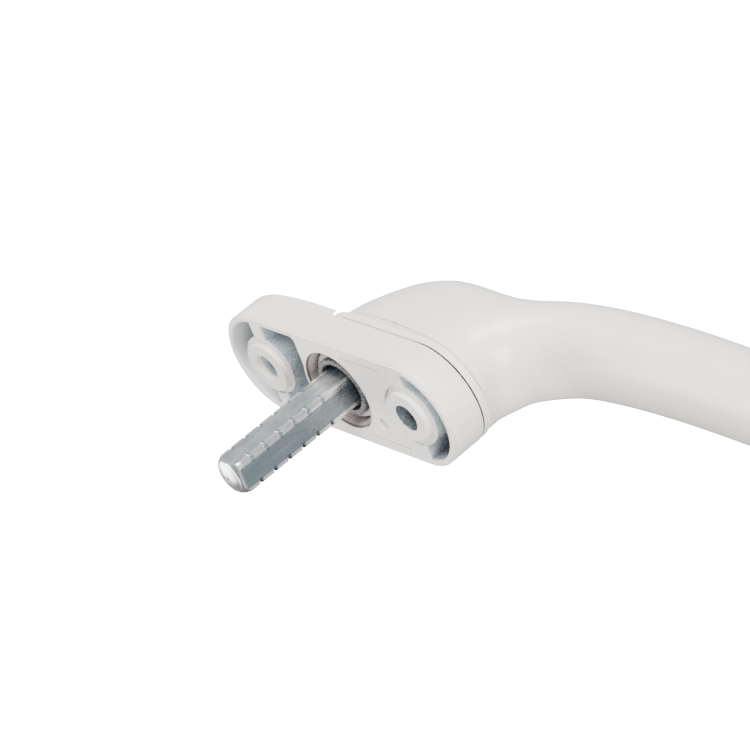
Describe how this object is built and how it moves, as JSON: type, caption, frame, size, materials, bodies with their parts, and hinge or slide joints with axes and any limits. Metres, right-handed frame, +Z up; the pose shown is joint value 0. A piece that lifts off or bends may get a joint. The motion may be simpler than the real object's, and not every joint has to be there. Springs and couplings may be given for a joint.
{
  "type": "tilt turn handle",
  "caption": "White tilt and turn window handle with a slim rosette, a hanging cranked lever and a notched square spindle.",
  "frame": {"origin": "on the spindle axis, in the sash face that the rosette's back rests on", "axes": "+Y out of the rosette's back into the sash, -Y into the room, +Z up along the rosette with the lever hanging along -Z, X across the rosette"},
  "size_m": [0.024, 0.0688, 0.1608],
  "materials": {
    "white_paint": "satin powder coat",
    "white_cover": "satin powder coat",
    "white_plastic": "moulded",
    "raw_zinc": "rough cast zinc",
    "zinc_steel": "brushed, zinc plated",
    "bright_steel": "bright",
    "spring_steel": "oiled",
    "brown_nylon": "moulded"
  },
  "bodies": {
    "rosette_body": {"rosette": "white_paint", "detent_cover": "white_cover", "detent_spring": "spring_steel", "neck_bush": "brown_nylon", "glide_plate": "white_plastic"},
    "lever_body": {"lever": "white_paint", "drive_sleeve": "raw_zinc", "retaining_ring": "bright_steel", "thrust_washer": "bright_steel", "index_ring": "bright_steel", "spring_washer": "spring_steel", "spindle": "zinc_steel", "spindle_pin": "bright_steel"},
    "plunger_body": {"detent_plunger": "bright_steel"}
  },
  "joints": [
    {"name": "lever_turn", "type": "hinge", "parent": "rosette_body", "child": "lever_body", "pos_m": [0, 0, 0], "axis": [0, 1, 0], "range_deg": [0, 180]},
    {"name": "plunger_travel", "type": "slide", "parent": "rosette_body", "child": "plunger_body", "axis": [0, 0, 1], "range_m": [0, 0.0006], "stiffness_N_per_m": 800, "springref_m": 0.0008, "deforming": ["detent_spring"]}
  ]
}
